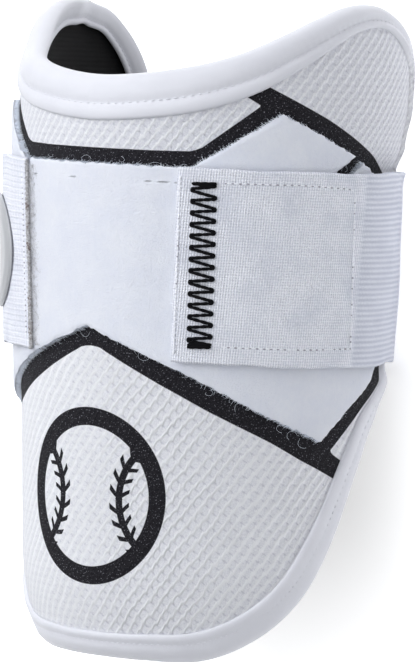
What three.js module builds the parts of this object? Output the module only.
// Baseball elbow guard: a foam shell faced with knitted mesh and lined inside, bound all
// round its edge, and closed by a wide elastic band that holds on a brushed pile panel.
// Millimetres, +Z up. The guard lies on its back. X runs across the arm, Y runs along it
// from the forearm tongue to the upper wings, and Z points out of the front.
// The origin is the middle of the flat stretch of band that the guard rests on.

import * as THREE from 'three';

// Shell
const guardLength = 203.7;
const tongueHalfWidth = 53;
const crownHalfWidth = 63;
const backDepthShare = 0.97;
const wingEdgeTurn = 125.5;
const tongueCup = 6;
const tongueCupReach = 31;
const foamThickness = 5.5;
const foamEdgeThickness = 2.4;
const foamTaperReach = 24;
const liningThickness = 1;
const edgeCurl = 1.2;
const edgeCurlReach = 13;

// Flanks, which the band draws in, and the left wing, whose rim has turned in
const flankDraw = 3;
const flankStartTurn = 68;
const flankFullTurn = 108;
const leftRimTurnIn = 4.2;
const leftRimReach = 20;
const leftRimDrop = 1.7;
const leftRimRise = 1.8;

// Binding, whose width changes round the edge
const bindingSkin = 1;
const rimBindingWidth = 13.3;
const wingBindingWidth = 5.5;
const flankBindingWidth = 12;
const tongueBindingWidth = 7.6;
const bindingInnerWidth = 8;

// Pile
const pileThickness = 2.2;

// Band, with turns in degrees round the arm from the front
const bandWidth = 59.4;
const bandThickness = 1.7;
const bandMiddleShare = 0.602;
const bandRightEnd = 27.8;
const bandLeftEnd = -25.6;
const bandLeftSlant = 1.5;
const bandDrawInStart = 86;
const bandDrawInEnd = 120;
const bandBackStandoff = 5.2;
const bandCornerBlend = 13;

// Hook patches and badge
const hookThickness = 0.8;
const hookMargin = 2.6;
const hookRightSetback = 2;
const hookRightSpan = 50;
const hookLeftSetback = 4;
const hookLeftSpan = 36;
const badgeRadius = 18;
const badgeThickness = 1.3;
const badgeTurn = -50;

// Clearances between pieces that lie on each other
const fitGap = 0.3;
const pileGap = 0.4;
const liningGap = 0.6;
const bindingGap = 0.4;
const innerLegGap = 0.6;

// Facets
const edgeStations = 72;
const fieldRings = 9;
const bandFacet = 5;
const pileFacet = 7;
const panelLevels = 5;
const patchLevels = 4;
const badgeSides = 20;

// Right half of the edge, from the middle of the upper rim round the wing to the tip of the
// tongue. Turn is degrees round the arm from the front, rise a share of guardLength.
const edgeTable = [
  { turn: 0, rise: 0.878 },
  { turn: 17, rise: 0.885 },
  { turn: 32, rise: 0.899 },
  { turn: 44, rise: 0.918 },
  { turn: 56, rise: 0.946 },
  { turn: 68, rise: 0.976 },
  { turn: 77, rise: 0.994 },
  { turn: 85, rise: 1 },
  { turn: 93, rise: 0.996 },
  { turn: 102, rise: 0.979 },
  { turn: 110, rise: 0.955 },
  { turn: 116, rise: 0.928 },
  { turn: 120.5, rise: 0.885 },
  { turn: 123.5, rise: 0.82 },
  { turn: 125, rise: 0.74 },
  { turn: wingEdgeTurn, rise: 0.63 },
  { turn: 125, rise: 0.53 },
  { turn: 122, rise: 0.445 },
  { turn: 114.5, rise: 0.388 },
  { turn: 104.3, rise: 0.333 },
  { turn: 97.3, rise: 0.272 },
  { turn: 91, rise: 0.21 },
  { turn: 84, rise: 0.15 },
  { turn: 76, rise: 0.095 },
  { turn: 66, rise: 0.052 },
  { turn: 53, rise: 0.019 },
  { turn: 39, rise: 0.002 },
  { turn: 20, rise: 0 },
  { turn: 0, rise: 0 },
];

// How far the flanks are drawn in at each rise, as a share of flankDraw.
const flankTable = [
  { rise: 0, draw: 0 },
  { rise: 0.38, draw: 0 },
  { rise: 0.425, draw: -0.4 },
  { rise: 0.455, draw: 0.13 },
  { rise: 0.5, draw: 0.37 },
  { rise: 0.6, draw: 0.73 },
  { rise: 0.75, draw: 1 },
  { rise: 0.79, draw: 0.23 },
  { rise: 0.85, draw: -0.23 },
  { rise: 0.9, draw: -0.27 },
  { rise: 1, draw: 0 },
];

// Rim of the left wing, by turn to the left: how far it turns in, as a share of
// leftRimTurnIn, and how far its edge is lifted.
const leftRimTable = [
  { turn: 30, turnIn: 0, lift: 0 },
  { turn: 58, turnIn: 1, lift: -leftRimDrop },
  { turn: 86, turnIn: 1, lift: -leftRimDrop },
  { turn: 97, turnIn: 0.2, lift: 0 },
  { turn: 107, turnIn: 0, lift: leftRimRise },
  { turn: 118, turnIn: 0, lift: 0 },
];

// Where that rim begins, as shares of guardLength.
const leftRimLow = 0.7;
const leftRimHigh = 0.85;

// Width of the binding along that half edge, from the upper rim to the tip of the tongue.
const bindingTable = [
  { along: 0, width: rimBindingWidth },
  { along: 0.06, width: rimBindingWidth },
  { along: 0.28, width: wingBindingWidth },
  { along: 0.5, width: wingBindingWidth },
  { along: 0.68, width: flankBindingWidth },
  { along: 0.76, width: flankBindingWidth },
  { along: 1, width: tongueBindingWidth },
];

// Right half of the pile panel: its lower and upper end at each turn. The upper strip carries
// the peak beside the rim, and past the fork the two strips part.
const panelLowerTable = [
  { turn: 0, low: 0.503, high: 0.726 },
  { turn: 31, low: 0.441, high: 0.726 },
  { turn: 56.4, low: 0.381, high: 0.726 },
  { turn: 68, low: 0.358, high: 0.726 },
  { turn: 76.3, low: 0.342, high: 0.663 },
  { turn: 102, low: 0.458, high: 0.467 },
];

const panelUpperTable = [
  { turn: 0, low: 0.726, high: 0.748 },
  { turn: 31, low: 0.726, high: 0.748 },
  { turn: 56.4, low: 0.726, high: 0.833 },
  { turn: 68, low: 0.726, high: 0.805 },
  { turn: 81.2, low: 0.774, high: 0.774 },
];

// Small pile patch outside the panel.
const patchTable = [
  { turn: 76.5, low: 0.727, high: 0.727 },
  { turn: 84.6, low: 0.651, high: 0.766 },
  { turn: 101, low: 0.527, high: 0.728 },
  { turn: 105, low: 0.54, high: 0.7 },
];

// Rings of the badge, from its middle out: reach is a share of its radius, dome of its height.
const badgeTable = [
  { reach: 0, dome: 1 },
  { reach: 0.5, dome: 1 },
  { reach: 0.88, dome: 0.9 },
  { reach: 1, dome: 0.5 },
];

const bandMiddle = bandMiddleShare * guardLength;
const bandLow = bandMiddle - bandWidth / 2;
const bandHigh = bandMiddle + bandWidth / 2;
const bandBackReach = halfWidth(bandHigh) - flankDraw + fitGap + bindingSkin;
const wingEdgeDepth = -bandBackReach * backDepthShare * Math.cos(THREE.MathUtils.degToRad(wingEdgeTurn));
const axisHeight = wingEdgeDepth + bandBackStandoff + bandThickness;
const bandFlatCosine = (axisHeight + bandCornerBlend) / (backDepthShare * bandBackReach);
const bandFlatTurn = 180 - THREE.MathUtils.radToDeg(Math.acos(bandFlatCosine));
const arcPerDegree = THREE.MathUtils.degToRad((tongueHalfWidth + crownHalfWidth) / 2);
const pileTop = pileGap + pileThickness;
const hookBase = pileTop + fitGap;
const hookTop = hookBase + hookThickness;
const bandBase = hookTop + fitGap;
const badgeBase = bandBase + bandThickness + fitGap;

function halfWidth(rise) {
  const cup = tongueCup * Math.max(0, 1 - rise / tongueCupReach) ** 2;
  return THREE.MathUtils.lerp(tongueHalfWidth, crownHalfWidth, rise / guardLength) - cup;
}

// Value of a table's column between its rows, eased so that no row leaves a crease.
function readTable(table, keyColumn, valueColumn, key) {
  const last = table.length - 1;
  let row = 0;
  while (row < last - 1 && key > table[row + 1][keyColumn]) row += 1;
  const lower = table[row];
  const upper = table[row + 1];
  const share = THREE.MathUtils.smoothstep(key, lower[keyColumn], upper[keyColumn]);
  return THREE.MathUtils.lerp(lower[valueColumn], upper[valueColumn], share);
}

// Point round the arm at a turn in degrees, a rise in millimetres and a reach from the axis.
function roundPoint(turn, rise, reach) {
  const angle = THREE.MathUtils.degToRad(turn);
  const depth = Math.cos(angle) > 0 ? reach : reach * backDepthShare;
  return new THREE.Vector3(
    reach * Math.sin(angle),
    rise - bandMiddle,
    axisHeight + depth * Math.cos(angle),
  );
}

function flankDrawIn(turn, rise) {
  const share = THREE.MathUtils.smoothstep(Math.abs(turn), flankStartTurn, flankFullTurn);
  return flankDraw * share * readTable(flankTable, 'rise', 'draw', rise / guardLength);
}

// Point of the shell at a turn, a rise and an offset outward from its face.
function shellPoint(turn, rise, offset) {
  return roundPoint(turn, rise, halfWidth(rise) - flankDrawIn(turn, rise) + offset);
}

// The whole edge, laid out flat: x is the arc round the arm and y the rise.
function edgeCurve() {
  const rows = edgeTable.map((row) => new THREE.Vector3(row.turn * arcPerDegree, row.rise * guardLength, 0));
  const mirrored = rows.slice(1, -1).reverse().map((point) => new THREE.Vector3(-point.x, point.y, 0));
  return new THREE.CatmullRomCurve3([...rows, ...mirrored], true, 'centripetal');
}

// A column of leftRimTable at a flat place, fading out below the rim.
function leftRimValue(flat, column) {
  const share = THREE.MathUtils.smoothstep(flat.y / guardLength, leftRimLow, leftRimHigh);
  return share * readTable(leftRimTable, 'turn', column, -flat.x / arcPerDegree);
}

// Evenly spaced stations on the edge, each with its inward direction and its binding width.
function makeStations() {
  const curve = edgeCurve();
  const half = edgeStations / 2;
  const stations = [];
  for (let index = 0; index < edgeStations; index += 1) {
    const along = index / edgeStations;
    const point = curve.getPointAt(along);
    const tangent = curve.getTangentAt(along);
    const inward = new THREE.Vector2(tangent.y, -tangent.x);
    const halfShare = 1 - Math.abs(index - half) / half;
    const width = readTable(bindingTable, 'along', 'width', halfShare);
    const flat = new THREE.Vector2(point.x, point.y);
    flat.y += leftRimValue(flat, 'lift');
    stations.push({ point: flat, inward, width });
  }
  return stations;
}

const stations = makeStations();

function insetPoint(station, inset) {
  return station.point.clone().addScaledVector(station.inward, inset);
}

function edgeDistance(flat) {
  let nearest = Infinity;
  stations.forEach((station, index) => {
    const next = stations[(index + 1) % edgeStations];
    const side = next.point.clone().sub(station.point);
    const along = THREE.MathUtils.clamp(flat.clone().sub(station.point).dot(side) / side.lengthSq(), 0, 1);
    nearest = Math.min(nearest, station.point.clone().addScaledVector(side, along).distanceTo(flat));
  });
  return nearest;
}

// Offsets of the layers at a flat place and its distance from the edge. The face curls in
// towards the edge, and the rim of the left wing turns in further.
function faceOffset(flat, distance) {
  const turnIn = leftRimTurnIn * leftRimValue(flat, 'turnIn');
  return -turnIn * Math.max(0, 1 - distance / leftRimReach) ** 2
    - edgeCurl * Math.max(0, 1 - distance / edgeCurlReach) ** 2;
}

function foamBack(flat, distance) {
  const share = THREE.MathUtils.smoothstep(distance, 0, foamTaperReach);
  return faceOffset(flat, distance) - THREE.MathUtils.lerp(foamEdgeThickness, foamThickness, share);
}

function liningFront(flat, distance) {
  return foamBack(flat, distance) - liningGap;
}

function liningBack(flat, distance) {
  return liningFront(flat, distance) - liningThickness;
}

// Collects corners and triangles, and turns them into one closed mesh.
class SolidBuilder {
  constructor() {
    this.corners = [];
    this.keys = new Map();
    this.triangles = [];
  }

  corner(point) {
    const key = point.toArray().map((value) => Math.round(value * 1000)).join(' ');
    if (!this.keys.has(key)) {
      this.keys.set(key, this.corners.length);
      this.corners.push(point);
    }
    return this.keys.get(key);
  }

  triangle(a, b, c) {
    if (a !== b && b !== c && c !== a) this.triangles.push([a, b, c]);
  }

  quad(a, b, c, d) {
    this.triangle(a, b, c);
    this.triangle(a, c, d);
  }

  geometry() {
    const geometry = new THREE.BufferGeometry();
    const positions = this.corners.flatMap((point) => point.toArray());
    geometry.setAttribute('position', new THREE.Float32BufferAttribute(positions, 3));
    geometry.setIndex(this.triangles.flat());
    geometry.computeVertexNormals();
    return geometry;
  }
}

// A sheet is a list of flat cells; this gives it an outer and an inner face and joins them
// round every edge that only one cell uses. A cell runs anticlockwise seen from outside.
function thickSheet(cells, outerPoint, innerPoint) {
  const solid = new SolidBuilder();
  const edges = new Map();
  cells.forEach((cell) => {
    const outer = cell.map((flat) => solid.corner(outerPoint(flat)));
    const inner = cell.map((flat) => solid.corner(innerPoint(flat)));
    for (let index = 1; index < cell.length - 1; index += 1) {
      solid.triangle(outer[0], outer[index], outer[index + 1]);
      solid.triangle(inner[0], inner[index + 1], inner[index]);
    }
    cell.forEach((flat, index) => {
      const next = (index + 1) % cell.length;
      if (outer[index] === outer[next]) return;
      edges.set(`${outer[index]} ${outer[next]}`, [outer[index], outer[next], inner[next], inner[index]]);
    });
  });
  edges.forEach(([from, to, innerTo, innerFrom]) => {
    if (!edges.has(`${to} ${from}`)) solid.quad(from, innerFrom, innerTo, to);
  });
  return solid.geometry();
}

// Rings of the shell: three under the binding, then on towards a spine along the front,
// between the middle of the tongue and the upper side of the band.
function shellCells() {
  const spineLow = bandLow / 2;
  const spineHigh = bandHigh;
  const skirt = bindingSkin + 2 * bindingGap;
  const rings = stations.map((station) => {
    const insets = [skirt, station.width / 2, station.width];
    const points = insets.map((inset) => insetPoint(station, inset));
    const start = points[points.length - 1];
    const spine = new THREE.Vector2(0, THREE.MathUtils.clamp(station.point.y, spineLow, spineHigh));
    for (let ring = 1; ring <= fieldRings; ring += 1) {
      points.push(start.clone().lerp(spine, ring / fieldRings));
    }
    return points;
  });
  const cells = [];
  rings.forEach((points, index) => {
    const next = rings[(index + 1) % edgeStations];
    for (let ring = 0; ring < points.length - 1; ring += 1) {
      cells.push([points[ring], points[ring + 1], next[ring + 1], next[ring]]);
    }
  });
  return cells;
}

function layerPoint(flat, offsetAt) {
  return shellPoint(flat.x / arcPerDegree, flat.y, offsetAt(flat, edgeDistance(flat)));
}

function paddedShell() {
  return thickSheet(
    shellCells(),
    (flat) => layerPoint(flat, faceOffset),
    (flat) => layerPoint(flat, foamBack),
  );
}

function innerLining() {
  return thickSheet(
    shellCells(),
    (flat) => layerPoint(flat, liningFront),
    (flat) => layerPoint(flat, liningBack),
  );
}

// Section of the binding at one station: out along the face, round the crest, in along the
// lining, and back inside the fold.
function bindingSection(station) {
  const width = station.width;
  const innerWidth = bindingInnerWidth;
  const fold = bindingSkin + bindingGap;
  const at = (inset, offsetAt, skin) => {
    const flat = insetPoint(station, inset);
    return shellPoint(flat.x / arcPerDegree, flat.y, offsetAt(flat, inset) + skin);
  };
  const outside = (inset, skin) => at(inset, faceOffset, bindingGap + skin);
  const inside = (inset, skin) => at(inset, liningBack, -innerLegGap - skin);
  return [
    outside(width, 0),
    outside(width, bindingSkin),
    outside(width / 2, bindingSkin),
    outside(2 * fold, bindingSkin),
    outside(fold / 2, 0),
    outside(0, 0).lerp(inside(0, 0), 0.5),
    inside(fold / 2, 0),
    inside(2 * fold, bindingSkin),
    inside(innerWidth / 2, bindingSkin),
    inside(innerWidth, bindingSkin),
    inside(innerWidth, 0),
    inside(innerWidth / 2, 0),
    inside(fold, 0),
    outside(fold, 0),
    outside(width / 2, 0),
  ];
}

function edgeBinding() {
  const solid = new SolidBuilder();
  const sections = stations.map((station) => bindingSection(station).map((point) => solid.corner(point)));
  sections.forEach((section, index) => {
    const next = sections[(index + 1) % edgeStations];
    section.forEach((corner, side) => {
      const across = (side + 1) % section.length;
      solid.quad(corner, next[side], next[across], section[across]);
    });
  });
  return solid.geometry();
}

// Cells in upright columns between the lower and the upper end of a table's rows, on the
// right side or mirrored to the left.
function columnCells(table, side, levels) {
  const cells = [];
  const at = (from, to, share, level) => {
    const turn = THREE.MathUtils.lerp(from.turn, to.turn, share);
    const low = THREE.MathUtils.lerp(from.low, to.low, share);
    const high = THREE.MathUtils.lerp(from.high, to.high, share);
    const rise = THREE.MathUtils.lerp(low, high, level / levels);
    return new THREE.Vector2(side * turn * arcPerDegree, rise * guardLength);
  };
  for (let row = 0; row < table.length - 1; row += 1) {
    const from = table[row];
    const to = table[row + 1];
    const steps = Math.ceil((to.turn - from.turn) / pileFacet);
    for (let step = 0; step < steps; step += 1) {
      const near = step / steps;
      const far = (step + 1) / steps;
      for (let level = 0; level < levels; level += 1) {
        const cell = [
          at(from, to, near, level),
          at(from, to, far, level),
          at(from, to, far, level + 1),
          at(from, to, near, level + 1),
        ];
        cells.push(side > 0 ? cell : cell.reverse());
      }
    }
  }
  return cells;
}

function pileSheet(cells) {
  return thickSheet(
    cells,
    (flat) => shellPoint(flat.x / arcPerDegree, flat.y, pileTop),
    (flat) => shellPoint(flat.x / arcPerDegree, flat.y, pileGap),
  );
}

function pilePanel() {
  const sides = [1, -1];
  return pileSheet(sides.flatMap((side) => [
    ...columnCells(panelLowerTable, side, panelLevels),
    ...columnCells(panelUpperTable, side, 1),
  ]));
}

function pilePatch(side) {
  return pileSheet(columnCells(patchTable, side, patchLevels));
}

// The larger of two values, with the corner between them rounded.
function roundedMax(first, second, blend) {
  const overlap = Math.max(blend - Math.abs(first - second), 0) / blend;
  return Math.max(first, second) + overlap * overlap * blend / 4;
}

// Point of the band at a turn, a rise and a depth measured from its inner face. Past the
// pile it draws in to the wings, and then it runs flat across the back.
function bandPoint(turn, rise, depth) {
  const drawIn = THREE.MathUtils.smoothstep(Math.abs(turn), bandDrawInStart, bandDrawInEnd);
  const frontReach = halfWidth(rise) + bandBase;
  const point = roundPoint(turn, rise, THREE.MathUtils.lerp(frontReach, bandBackReach, drawIn) + depth);
  point.z = roundedMax(point.z, bandThickness - depth, bandCornerBlend);
  return point;
}

// Turns of the band's sections: from its right end to the flat stretch across the back, and
// from there to its left end.
function bandTurns() {
  const rightSteps = Math.round((bandFlatTurn - bandRightEnd) / bandFacet);
  const leftSteps = Math.round((bandFlatTurn + bandLeftEnd) / bandFacet);
  const turns = [];
  for (let step = 0; step <= rightSteps; step += 1) {
    turns.push(THREE.MathUtils.lerp(bandRightEnd, bandFlatTurn, step / rightSteps));
  }
  for (let step = 0; step <= leftSteps; step += 1) {
    turns.push(THREE.MathUtils.lerp(-bandFlatTurn, bandLeftEnd, step / leftSteps));
  }
  return turns;
}

function elasticBand() {
  const turns = bandTurns();
  const last = turns.length - 1;
  const at = (index, rise) => {
    const slant = index === last ? bandLeftSlant * (bandMiddle - rise) / (bandWidth / 2) : 0;
    return new THREE.Vector2(turns[index] + slant, rise);
  };
  const cells = [];
  for (let index = 0; index < last; index += 1) {
    cells.push([at(index, bandLow), at(index + 1, bandLow), at(index + 1, bandHigh), at(index, bandHigh)]);
  }
  return thickSheet(
    cells,
    (flat) => bandPoint(flat.x, flat.y, bandThickness),
    (flat) => bandPoint(flat.x, flat.y, 0),
  );
}

// Hook patch between two turns, set in from both sides of the band.
function hookPatch(fromTurn, toTurn) {
  const steps = Math.round((toTurn - fromTurn) / bandFacet);
  const low = bandLow + hookMargin;
  const high = bandHigh - hookMargin;
  const cells = [];
  for (let step = 0; step < steps; step += 1) {
    const near = THREE.MathUtils.lerp(fromTurn, toTurn, step / steps);
    const far = THREE.MathUtils.lerp(fromTurn, toTurn, (step + 1) / steps);
    cells.push([
      new THREE.Vector2(near, low),
      new THREE.Vector2(far, low),
      new THREE.Vector2(far, high),
      new THREE.Vector2(near, high),
    ]);
  }
  return thickSheet(
    cells,
    (flat) => shellPoint(flat.x, flat.y, hookTop),
    (flat) => shellPoint(flat.x, flat.y, hookBase),
  );
}

function hookPatchRight() {
  const start = bandRightEnd + hookRightSetback;
  return hookPatch(start, start + hookRightSpan);
}

function hookPatchLeft() {
  const end = bandLeftEnd - hookLeftSetback;
  return hookPatch(end - hookLeftSpan, end);
}

// Round badge that follows the curve of the band, slightly domed.
function roundBadge() {
  const at = (ring, side) => {
    const angle = 2 * Math.PI * side / badgeSides;
    const reach = badgeRadius * ring.reach;
    const across = reach * Math.cos(angle) / arcPerDegree;
    return { turn: badgeTurn + across, rise: bandMiddle + reach * Math.sin(angle), dome: ring.dome };
  };
  const cells = [];
  for (let ring = 0; ring < badgeTable.length - 1; ring += 1) {
    for (let side = 0; side < badgeSides; side += 1) {
      cells.push([
        at(badgeTable[ring], side),
        at(badgeTable[ring + 1], side),
        at(badgeTable[ring + 1], side + 1),
        at(badgeTable[ring], side + 1),
      ]);
    }
  }
  return thickSheet(
    cells,
    (place) => shellPoint(place.turn, place.rise, badgeBase + badgeThickness * place.dome),
    (place) => shellPoint(place.turn, place.rise, badgeBase),
  );
}

const whiteMesh = { color: 0xe9ebef, roughness: 0.75, metalness: 0 };
const blackLining = { color: 0x17181b, roughness: 0.45, metalness: 0 };
const whiteBinding = { color: 0xe6e8ee, roughness: 0.6, metalness: 0 };
const brushedPile = { color: 0xdfe5f1, roughness: 0.95, metalness: 0 };
const whiteElastic = { color: 0xe4e8f0, roughness: 0.8, metalness: 0 };
const hookNylon = { color: 0xd2d5db, roughness: 0.6, metalness: 0 };
const greyRubber = { color: 0xa9acb2, roughness: 0.5, metalness: 0 };

const guard = new THREE.Group();

function addPiece(name, geometry, finish) {
  const mesh = new THREE.Mesh(geometry, new THREE.MeshStandardMaterial(finish));
  mesh.name = name;
  guard.add(mesh);
}

addPiece('padded_shell', paddedShell(), whiteMesh);
addPiece('inner_lining', innerLining(), blackLining);
addPiece('edge_binding', edgeBinding(), whiteBinding);
addPiece('front_pile_panel', pilePanel(), brushedPile);
addPiece('side_pile_patch_right', pilePatch(1), brushedPile);
addPiece('side_pile_patch_left', pilePatch(-1), brushedPile);
addPiece('elastic_band', elasticBand(), whiteElastic);
addPiece('hook_patch_right', hookPatchRight(), hookNylon);
addPiece('hook_patch_left', hookPatchLeft(), hookNylon);
addPiece('round_badge', roundBadge(), greyRubber);

export default guard;
